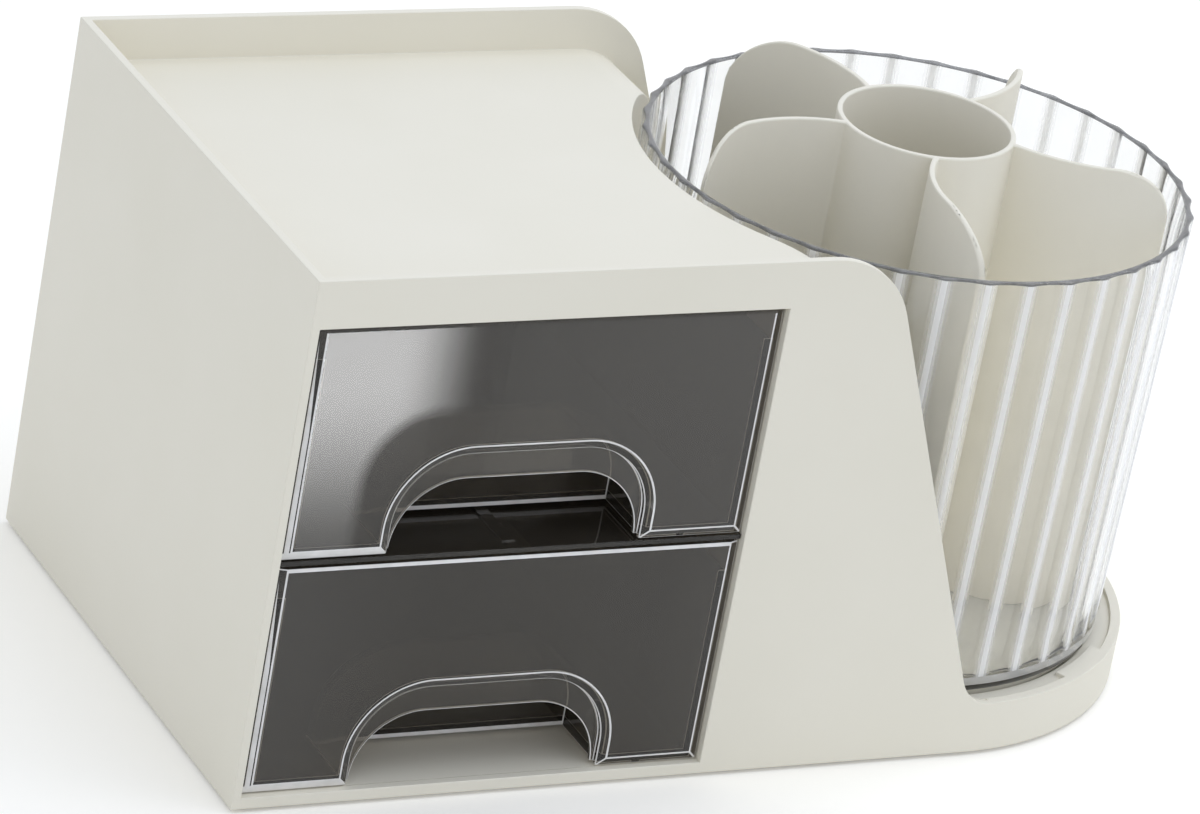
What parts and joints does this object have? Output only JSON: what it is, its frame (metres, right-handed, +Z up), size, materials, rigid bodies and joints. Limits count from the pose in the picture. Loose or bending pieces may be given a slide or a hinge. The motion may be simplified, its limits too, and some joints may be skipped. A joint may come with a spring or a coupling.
{
  "type": "rotating makeup organizer",
  "caption": "Desktop organizer with stacked pull-out drawers under a shallow top tray, and beside them a fluted clear cup on a turntable with a lift-out petal divider.",
  "frame": {"origin": "middle of the footprint, on the surface that the rubber feet stand on", "axes": "+Z up, +X from the drawers to the rotating cup, the drawer fronts face -Y"},
  "size_m": [0.275, 0.15, 0.1406],
  "materials": {
    "cream_plastic": "fine matte",
    "smoky_plastic": "smoky transparent gloss",
    "clear_plastic": "clear gloss",
    "zinc_screw": "zinc plated",
    "bearing_steel": "polished",
    "white_nylon": "satin",
    "foot_rubber": "matte"
  },
  "bodies": {
    "housing": {"housing_shell": "cream_plastic", "base_cover": "cream_plastic", "cover_screws": "zinc_screw", "rubber_feet": "foot_rubber", "mid_shelf": "smoky_plastic", "lower_race": "bearing_steel", "lower_race_screws": "zinc_screw", "pivot_bolt": "zinc_screw", "pivot_bushing": "white_nylon", "pivot_washer": "bearing_steel", "pivot_nut": "zinc_screw"},
    "upper_drawer": {"upper_drawer": "smoky_plastic"},
    "lower_drawer": {"lower_drawer": "smoky_plastic"},
    "ball_train": {"ball_cage": "white_nylon", "bearing_balls": "bearing_steel"},
    "carousel": {"upper_race": "bearing_steel", "upper_race_screws": "zinc_screw", "turntable_plate": "cream_plastic", "cup_screws": "zinc_screw", "fluted_cup": "clear_plastic"},
    "divider": {"petal_divider": "cream_plastic"}
  },
  "joints": [
    {"name": "upper_drawer_slide", "type": "slide", "parent": "housing", "child": "upper_drawer", "axis": [0, -1, 0], "range_m": [0, 0.105]},
    {"name": "lower_drawer_slide", "type": "slide", "parent": "housing", "child": "lower_drawer", "axis": [0, -1, 0], "range_m": [0, 0.105]},
    {"name": "carousel_spin", "type": "hinge", "parent": "housing", "child": "carousel", "pos_m": [0.0625, 0, 0.0148], "axis": [0, 0, 1], "continuous": true},
    {"name": "ball_train_spin", "type": "hinge", "parent": "housing", "child": "ball_train", "pos_m": [0.0625, 0, 0.00955], "axis": [0, 0, 1], "continuous": true},
    {"name": "divider_lift", "type": "slide", "parent": "carousel", "child": "divider", "axis": [0, 0, 1], "range_m": [0, 0.15]}
  ],
  "couplings": [
    {"joint": "ball_train_spin", "follows": "carousel_spin", "ratio": 0.5}
  ]
}
